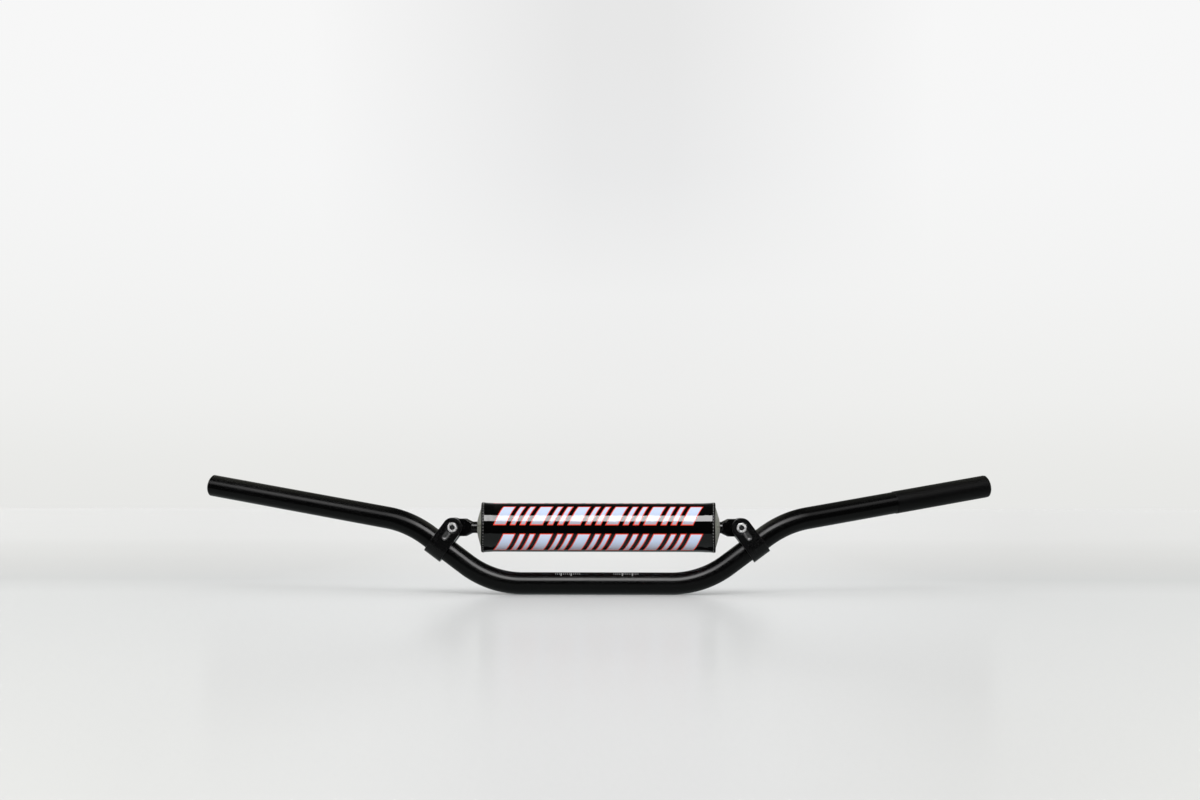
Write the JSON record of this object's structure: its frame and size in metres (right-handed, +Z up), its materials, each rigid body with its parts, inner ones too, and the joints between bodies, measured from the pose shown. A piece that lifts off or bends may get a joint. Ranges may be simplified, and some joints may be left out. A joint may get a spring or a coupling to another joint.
{
  "type": "handlebar",
  "caption": "Tubular motorcycle handlebar, bent up and back at the grips, with a clamped crossbar that carries a round foam pad in a wrapped cover.",
  "frame": {"origin": "middle of the straight stretch that the fork clamps hold, on the bar tube's axis", "axes": "+X along that stretch, to the rider's left (clutch side); +Y rearward, to the rider; +Z up"},
  "size_m": [0.8104, 0.0887, 0.1202],
  "materials": {
    "bar": "satin",
    "clamp": "satin",
    "crossbar": "satin",
    "bolt_steel": "satin",
    "cover_vinyl": "gloss",
    "rim_vinyl": "satin",
    "foam": "matte",
    "panel_cloth": "matte",
    "thread": "matte",
    "fastening": "matte"
  },
  "bodies": {
    "bar": {"bar_tube": "bar", "clamp_left": "clamp", "clamp_right": "clamp", "clamp_bolt_left": "bolt_steel", "clamp_bolt_right": "bolt_steel", "clamp_nut_left": "bolt_steel", "clamp_nut_right": "bolt_steel", "crossbar_tube": "crossbar", "crossbar_end_left": "crossbar", "crossbar_end_right": "crossbar"},
    "pad_core": {"pad_foam": "foam"},
    "pad_shell": {"pad_cover": "cover_vinyl", "pad_panel_left": "panel_cloth", "pad_panel_right": "panel_cloth", "pad_rim_left": "rim_vinyl", "pad_rim_right": "rim_vinyl", "pad_seam_left": "thread", "pad_seam_right": "thread", "pad_loop_strip": "fastening"},
    "pad_closure": {"pad_flap": "cover_vinyl", "pad_hook_strip": "fastening", "pad_flap_stitch": "thread"}
  },
  "joints": [
    {"name": "pad_slide", "type": "slide", "parent": "bar", "child": "pad_core", "axis": [1, 0, 0], "range_m": [-0.0035, 0.0005]},
    {"name": "pad_turn", "type": "hinge", "parent": "pad_core", "child": "pad_shell", "pos_m": [0, 0, 0.05571], "axis": [1, 0, 0], "continuous": true},
    {"name": "flap_peel", "type": "hinge", "parent": "pad_shell", "child": "pad_closure", "pos_m": [0.0015, 0.01555, 0.07562], "axis": [1, 0, 0], "range_deg": [0, 120]}
  ]
}
